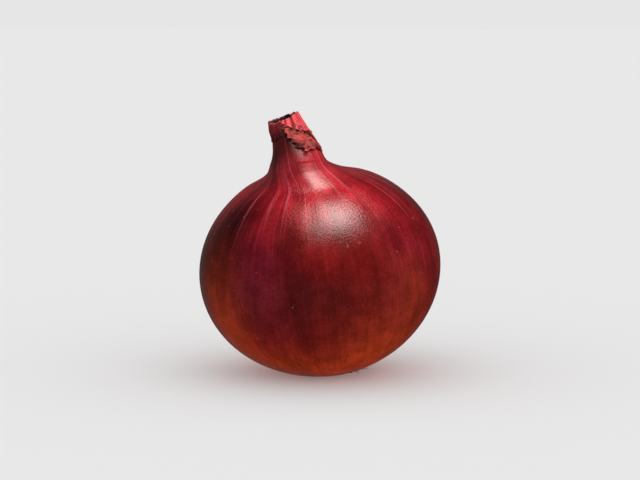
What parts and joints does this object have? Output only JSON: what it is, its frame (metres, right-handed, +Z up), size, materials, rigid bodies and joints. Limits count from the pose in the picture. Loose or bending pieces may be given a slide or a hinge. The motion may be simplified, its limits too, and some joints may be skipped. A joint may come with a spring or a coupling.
{
  "type": "red onion",
  "caption": "Whole cured red onion: broad rounded bulb in glossy dry skin, leaning cut neck with a torn papery collar, small clipped root plate underneath.",
  "frame": {"origin": "on the surface the onion rests on, under the middle of the bulb's box", "axes": "+Z up; the neck leans towards -X and the bulb's axis a little towards -Y"},
  "size_m": [0.08, 0.0792, 0.087],
  "materials": {
    "red_skin": "satin",
    "dry_neck": "matte",
    "roots": "matte"
  },
  "bodies": {
    "root": {"onion": "red_skin"}
  },
  "joints": []
}
